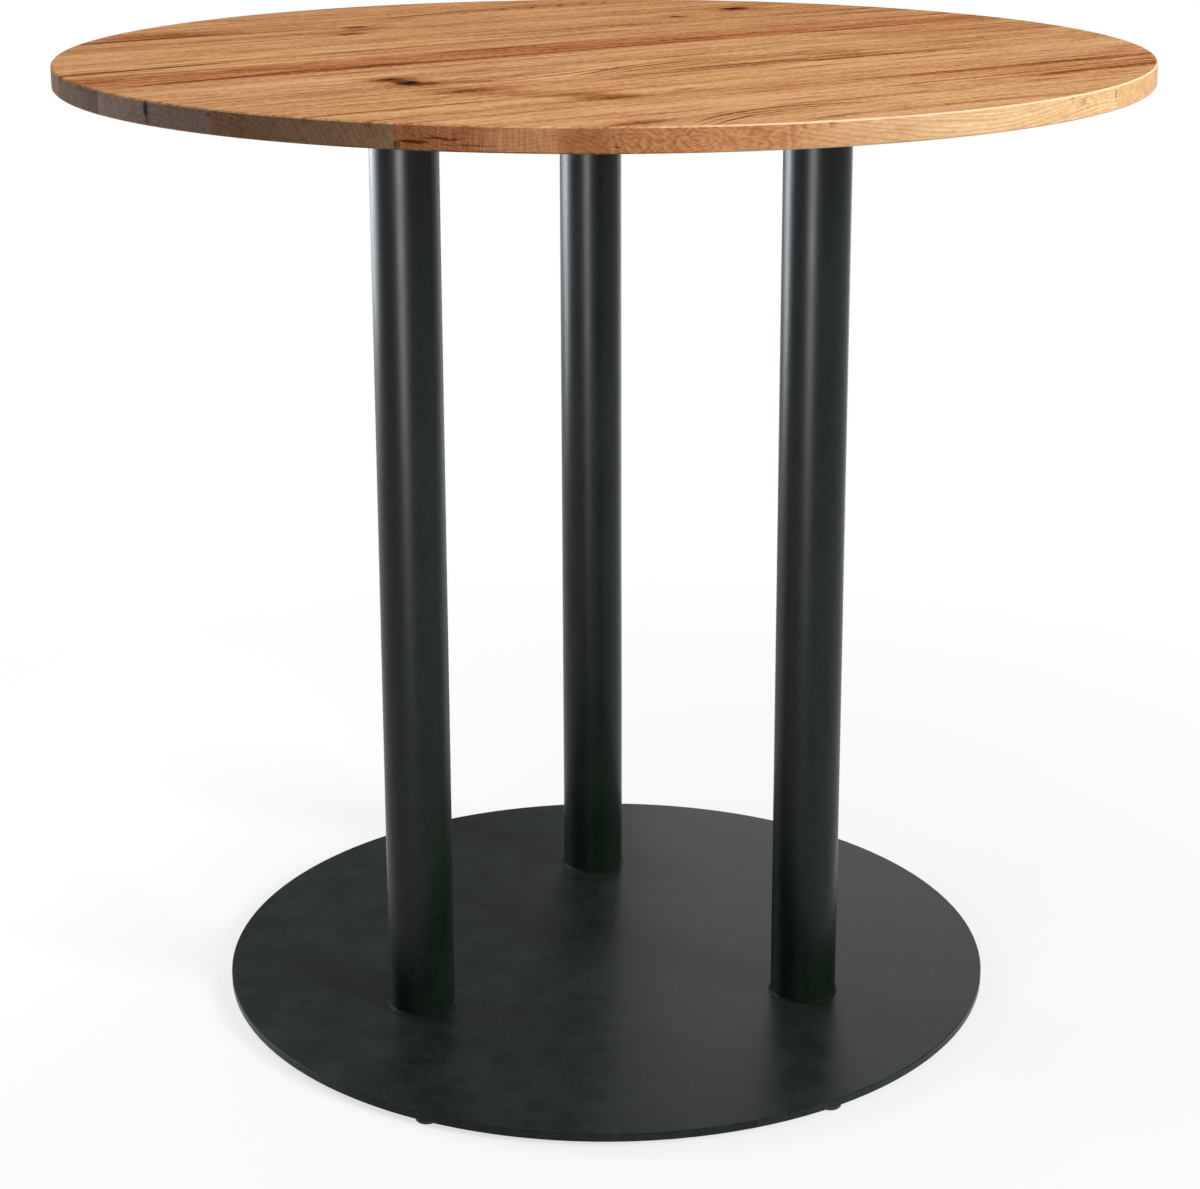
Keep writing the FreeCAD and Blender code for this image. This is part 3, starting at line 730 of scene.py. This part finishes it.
def oak(name, figure, middle, seed):
    """Solid oak for one board, cut from a log whose pith runs along the board."""
    g = Graph(name)
    place = g.place()
    grain = g.node("Mapping", {"Vector": place, "Rotation": (0, 0, -GRAIN_ANGLE)}).outputs[0]
    wobble = g.swing(grain, WOBBLE, seed)
    ripple = g.swing(grain, RIPPLE, seed)
    at = Where(place, grain, *g.parts(grain), wobble, ripple)

    marked, cracked, stained, pushes = join_marks(g, figure.marks, at)
    pushes = [wobble, ripple, g.swing(grain, BEND, seed)] + pushes
    early, ray_place = growth_rings(g, figure, at, middle, pushes, seed)
    normal = g.node("NewGeometry", {}).outputs["Normal"]
    levelness = g.math("ABSOLUTE", g.parts(normal)[2])
    rim_share = g.smooth(levelness, *RIM_RANGE)

    dash = g.swing(grain, DASH, seed)
    broad = g.swing(grain, BROAD, seed)
    streaked = g.total(broad, g.swing(grain, STREAK, seed), dash, g.swing(grain, PEPPER, seed))
    pores = pore_share(g, at, early, seed)
    rim_early = g.linear(at.along, *RIM_EARLY_TONE)
    tone = g.total(
        BASE_TONE + figure.tone,
        g.product(sawn_tone(g, at, rim_share, seed), figure.sawn),
        g.product(at.along, figure.lean),
        g.product(early, g.between(rim_share, EARLY_TONE, rim_early)),
        g.product(streaked, g.between(rim_share, 1.0, RIM_STREAK_SHARE)),
        g.product(vein_share(g, at, seed), g.between(rim_share, VEIN_TONE, 0.0)),
        g.product(pores, PORE_TONE),
        g.product(ray_share(g, ray_place, seed), RAY_TONE),
        marked,
    )
    colour = oak_colour(g, figure, at, tone, marked, seed)
    colour = tint_edges(g, figure, at, colour, levelness, rim_share)
    colour = g.mix(stained, colour, STAIN_BLUE)
    colour = g.mix(cracked, colour, CRACK_BLACK)

    pore_roughness = g.product(pores, PORE_ROUGHNESS)
    rim_roughness = g.product(rim_share, RIM_ROUGHNESS)
    height = g.total(
        RELIEF_BASE,
        g.product(pores, RELIEF_PORES),
        g.product(early, RELIEF_EARLY),
        g.product(cracked, RELIEF_CRACKS),
        g.product(dash, RELIEF_DASHES),
    )
    return g.finish(
        Base__Color=colour,
        Roughness=g.total(OAK_ROUGHNESS, pore_roughness, rim_roughness),
        Specular__IOR__Level=0.0,
        Coat__Weight=g.between(rim_share, LACQUER_FACE, LACQUER_RIM),
        Coat__Roughness=LACQUER_ROUGHNESS,
        Normal=g.bump(height, RELIEF),
    )


# ---- Metals and plastic ----


def even(cycles, seed, detail=2.0):
    """A noise that is the same along all axes and swings by 1 each way."""
    return Noise((cycles, cycles, cycles), seed, detail, 0.5, 1.0)


def varied(g, dark, light, *drifts):
    """Colour from dark to light, as the sum of the drifts goes from -0.5 to 0.5."""
    return g.ramp(g.total(0.5, *drifts), ((0.0, dark), (1.0, light)))


# A powder coat: its seed, its darkest and lightest colour, how strongly it mirrors, and its roughness.
Coat = namedtuple("Coat", "seed dark light gloss roughness")
# The plate's coat is the tubes' black made lighter and less glossy; the lighter colour is painted light
# lifting it where it mirrors the dark underside of the top.
PLATE_COAT_LIFTED = Coat(1.0, (0.0060, 0.0100, 0.0070), (0.0190, 0.0262, 0.0208), 0.15, 0.36)
TUBE_COAT = Coat(31.0, (0.0025, 0.0065, 0.0035), (0.0070, 0.0130, 0.0085), 0.21, 0.36)
WELD_COAT = Coat(61.0, (0.0040, 0.0070, 0.0050), (0.0070, 0.0110, 0.0080), 0.09, 0.50)
COAT_CLOUDS = Noise((24.0, 24.0, 9.0), 0.0, 5.0, 0.65, 1.0)
COAT_SPECKS = even(260.0, 1.0)
COAT_PEEL = even(650.0, 2.0)
COAT_CLOUD_TONE = 1.2
COAT_SPECK_TONE = 0.9
COAT_CLOUD_ROUGHNESS = 0.08
COAT_SPECK_ROUGHNESS = 0.03
PEEL_DEPTH = 0.02 * MM


def powder_coat(name, coat):
    """Satin black powder coat: faint orange peel, and cloudy patches that differ in roughness."""
    g = Graph(name)
    place = g.place()
    cloud = g.swing(place, COAT_CLOUDS, coat.seed)
    speck = g.swing(place, COAT_SPECKS, coat.seed)
    cloud_tone = g.product(cloud, COAT_CLOUD_TONE)
    speck_tone = g.product(speck, COAT_SPECK_TONE)
    peel = g.noise(place, COAT_PEEL, coat.seed)
    cloud_roughness = g.product(cloud, COAT_CLOUD_ROUGHNESS)
    speck_roughness = g.product(speck, COAT_SPECK_ROUGHNESS)
    return g.finish(
        Base__Color=varied(g, coat.dark, coat.light, cloud_tone, speck_tone),
        Roughness=g.total(coat.roughness, cloud_roughness, speck_roughness),
        Specular__IOR__Level=coat.gloss,
        Normal=g.bump(peel, PEEL_DEPTH),
    )


ZINC_DARK = (0.50, 0.51, 0.50)
ZINC_LIGHT = (0.68, 0.69, 0.70)
ZINC_BRUSHED = Noise((300.0, 300.0, 2500.0), 4.0, 2.0, 0.5, 1.0)
ZINC_STAIN = even(80.0, 9.0)
ZINC_STAIN_TONE = 0.5
ZINC_ROUGHNESS = 0.34
ZINC_BRUSHED_ROUGHNESS = 0.10
ZINC_STAIN_ROUGHNESS = 0.06
BRUSH_DEPTH = 0.01 * MM


def zinc(name):
    """Bright zinc plating, with a fine turned and brushed look."""
    g = Graph(name)
    place = g.place()
    brushed = g.swing(place, ZINC_BRUSHED)
    stain = g.swing(place, ZINC_STAIN)
    brushed_roughness = g.product(brushed, ZINC_BRUSHED_ROUGHNESS)
    stain_roughness = g.product(stain, ZINC_STAIN_ROUGHNESS)
    return g.finish(
        Base__Color=varied(g, ZINC_DARK, ZINC_LIGHT, g.product(stain, ZINC_STAIN_TONE)),
        Roughness=g.total(ZINC_ROUGHNESS, brushed_roughness, stain_roughness),
        Metallic=1.0,
        Normal=g.bump(brushed, BRUSH_DEPTH),
    )


BRASS_DARK = (0.50, 0.33, 0.12)
BRASS_LIGHT = (0.70, 0.50, 0.22)
BRASS_STAIN = even(120.0, 2.0)
BRASS_STAIN_TONE = 0.5
BRASS_ROUGHNESS = 0.35
BRASS_STAIN_ROUGHNESS = 0.08


def brass(name):
    """Turned brass, a little dulled."""
    g = Graph(name)
    stain = g.swing(g.place(), BRASS_STAIN)
    return g.finish(
        Base__Color=varied(g, BRASS_DARK, BRASS_LIGHT, g.product(stain, BRASS_STAIN_TONE)),
        Roughness=g.total(BRASS_ROUGHNESS, g.product(stain, BRASS_STAIN_ROUGHNESS)),
        Metallic=1.0,
    )


NYLON_DARK = (0.012, 0.012, 0.013)
NYLON_LIGHT = (0.035, 0.035, 0.036)
NYLON_GRAIN = even(1400.0, 6.0)
NYLON_GRAIN_DEPTH = 0.03 * MM
NYLON_SCUFF = even(160.0, 3.0, 3.0)
NYLON_SCUFF_TONE = 0.6
NYLON_ROUGHNESS = 0.62
NYLON_SCUFF_ROUGHNESS = 0.1


def nylon(name):
    """Black moulded nylon, matt, with a fine grained skin."""
    g = Graph(name)
    place = g.place()
    grained = g.noise(place, NYLON_GRAIN)
    scuff = g.swing(place, NYLON_SCUFF)
    return g.finish(
        Base__Color=varied(g, NYLON_DARK, NYLON_LIGHT, g.product(scuff, NYLON_SCUFF_TONE)),
        Roughness=g.total(NYLON_ROUGHNESS, g.product(scuff, NYLON_SCUFF_ROUGHNESS)),
        Normal=g.bump(grained, NYLON_GRAIN_DEPTH),
    )


# ---- Dressing of the CAD nodes ----

SEED_STEP = 10.0  # from one board's seed to the next's


def dress(node_name, material):
    """Gives a CAD node its finish."""
    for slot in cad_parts[node_name].material_slots:
        slot.material = material


for number, name in enumerate(BOARD_NAMES):
    near, far = across_range(name)
    dress(name, oak("oak_" + name[-2:], FIGURES[name], (near + far) / 2, SEED_STEP * number))

coat_plate_lifted = powder_coat("coat_plate_lifted", PLATE_COAT_LIFTED)
coat_tubes = powder_coat("coat_tubes", TUBE_COAT)
coat_welds = powder_coat("coat_welds", WELD_COAT)
zinc_plain = zinc("zinc_plain")
FINISHES = {
    "base_plate": coat_plate_lifted,
    "top_spider": coat_plate_lifted,
    "column_tube": coat_tubes,
    "column_foot_weld": coat_welds,
    "column_head_weld": coat_welds,
    "glide_stud": zinc_plain,
    "top_screws": zinc_plain,
    "top_washers": zinc_plain,
    "top_inserts": brass("brass_plain"),
    "glide_pad": nylon("nylon_plain"),
}
for start, material in FINISHES.items():
    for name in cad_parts:
        if name.startswith(start):
            dress(name, material)


# ---- Camera ----

# Fitted to the outlines of the top, the plate and the tubes in the photo.
IMAGE_WIDTH = 1200.0
IMAGE_HEIGHT = 1189.0
FOCAL_PIXELS = 2660.75
CENTRE_ROW = 450.0  # the image row that the lens axis meets
SENSOR_WIDTH = 36.0
CAMERA_PLACE = Vector((-0.19514, -2.99655, 1.44869))
CAMERA_FORWARD = Vector((0.060936, 0.964253, -0.257883))
CAMERA_ROLL = math.radians(-0.172)


def add_camera():
    lens = bpy.data.cameras.new("camera")
    lens.sensor_fit = "HORIZONTAL"
    lens.sensor_width = SENSOR_WIDTH
    lens.lens = FOCAL_PIXELS * SENSOR_WIDTH / IMAGE_WIDTH
    lens.shift_y = (CENTRE_ROW - IMAGE_HEIGHT / 2) / IMAGE_WIDTH
    lens.dof.use_dof = False
    camera = bpy.data.objects.new("camera", lens)
    aim = CAMERA_FORWARD.to_track_quat("-Z", "Y").to_matrix()
    turn = aim @ Matrix.Rotation(CAMERA_ROLL, 3, "Z")
    camera.matrix_world = Matrix.Translation(CAMERA_PLACE) @ turn.to_4x4()
    bpy.context.scene.collection.objects.link(camera)
    bpy.context.scene.camera = camera


# ---- Floor ----

FLOOR_HALF = 60.0
FLOOR_CLOUDS = even(1.5, 0.0)
FLOOR_PALE = ((0.0, (0.90, 0.90, 0.90)), (1.0, (0.94, 0.94, 0.94)))
FLOOR_BOUNCE = (0.20, 0.20, 0.20)
FLOOR_WHITE = (1.0, 1.0, 1.0, 1.0)
FLOOR_GLOW = (0.6, 1.7, 0.7, 1.0)  # distance from and to, share of plain white from and to


def pale_floor():
    """What is seen of the floor is white; the light that it throws back on the table is dimmer."""
    g = Graph("pale_floor")
    path = g.node("LightPath", {})
    seen = g.math("MAXIMUM", path.outputs["Is Camera Ray"], path.outputs["Is Glossy Ray"])
    seen = g.math("MAXIMUM", seen, path.outputs["Is Transmission Ray"])
    place = g.place()
    pale = g.ramp(g.noise(place, FLOOR_CLOUDS), FLOOR_PALE)
    lit = g.node("BsdfDiffuse", {"Color": g.mix(seen, FLOOR_BOUNCE, pale)})
    glow = g.node("Emission", {"Color": FLOOR_WHITE, "Strength": 1.0})
    share = g.product(seen, g.smooth(g.measure("LENGTH", place), *FLOOR_GLOW))
    surface = g.node("MixShader", {0: share, 1: lit.outputs[0], 2: glow.outputs[0]})
    g.node("OutputMaterial", {0: surface.outputs[0]})
    return g.material


def add_floor():
    mesh = bpy.data.meshes.new("floor")
    corners = [(x * FLOOR_HALF, y * FLOOR_HALF, 0) for x, y in ((-1, -1), (1, -1), (1, 1), (-1, 1))]
    mesh.from_pydata(corners, [], [(0, 1, 2, 3)])
    mesh.materials.append(pale_floor())
    floor = bpy.data.objects.new("floor", mesh)
    bpy.context.scene.collection.objects.link(floor)


# ---- Light ----

WHITE = (1.0, 1.0, 1.0)
WARM_WHITE = (1.0, 0.99, 0.97)
COOL_WHITE = (0.86, 0.93, 1.0)
WORLD_STRENGTH = 0.30


def softbox(name, place, target, size, watts, colour, lights="all", spread=180.0):
    """Rectangular lamp that lights surfaces and shows in reflections ("all").

    "gloss" only shows in reflections, and "matt" only lights. A spread below 180 degrees stands for a
    grid before the lamp, which keeps its light off its sides.
    """
    light = bpy.data.lights.new(name, "AREA")
    light.shape = "RECTANGLE"
    light.size, light.size_y = size
    light.energy = watts
    light.color = colour
    light.spread = math.radians(spread)
    lamp = bpy.data.objects.new(name, light)
    lamp.location = place
    lamp.rotation_euler = (Vector(target) - Vector(place)).to_track_quat("-Z", "Y").to_euler()
    lamp.visible_camera = False
    lamp.visible_diffuse = lights != "gloss"
    lamp.visible_glossy = lights != "matt"
    bpy.context.scene.collection.objects.link(lamp)


def add_lamps():
    softbox(
        "key_right", place=(6.0, -4.4, 3.42), target=(0.0, 0.0, 1.08),
        size=(3.0, 3.0), watts=700.0, colour=WARM_WHITE, lights="matt",
    )
    softbox(
        "overhead", place=(0.0, -0.2, 3.4), target=(0.0, 0.0, 1.0),
        size=(2.4, 2.4), watts=23.0, colour=WARM_WHITE,
    )
    # The bright line down the front of each tube.
    softbox(
        "front_strip", place=(-1.00, -2.93, 0.72), target=(-0.06, -0.12, 1.215),
        size=(0.85, 0.98), watts=7.7, colour=WHITE, lights="gloss", spread=48.0,
    )
    # The bright left sides of the tubes.
    softbox(
        "cool_left", place=(-1.36, 0.72, 0.82), target=(0.04, 0.0, 0.82),
        size=(1.20, 0.50), watts=17.5, colour=COOL_WHITE,
    )
    softbox(
        "gridded_left", place=(-1.20, 0.64, 0.72), target=(0.074, 0.059, 0.94),
        size=(0.25, 0.60), watts=0.50, colour=COOL_WHITE, lights="gloss", spread=28.0,
    )
    # The sheen on the right of the plate.
    softbox(
        "rear_right", place=(0.677, 1.2, 0.485), target=(0.64, 0.0, 0.205),
        size=(1.155, 1.05), watts=3.6, colour=WHITE, lights="gloss",
    )


def add_world():
    world = bpy.data.worlds.new("world")
    bpy.context.scene.world = world
    world.use_nodes = True
    background = world.node_tree.nodes["Background"]
    background.inputs["Color"].default_value = (*WHITE, 1.0)
    background.inputs["Strength"].default_value = WORLD_STRENGTH


add_camera()
add_floor()
add_lamps()
add_world()
bpy.context.scene.view_settings.view_transform = "Standard"
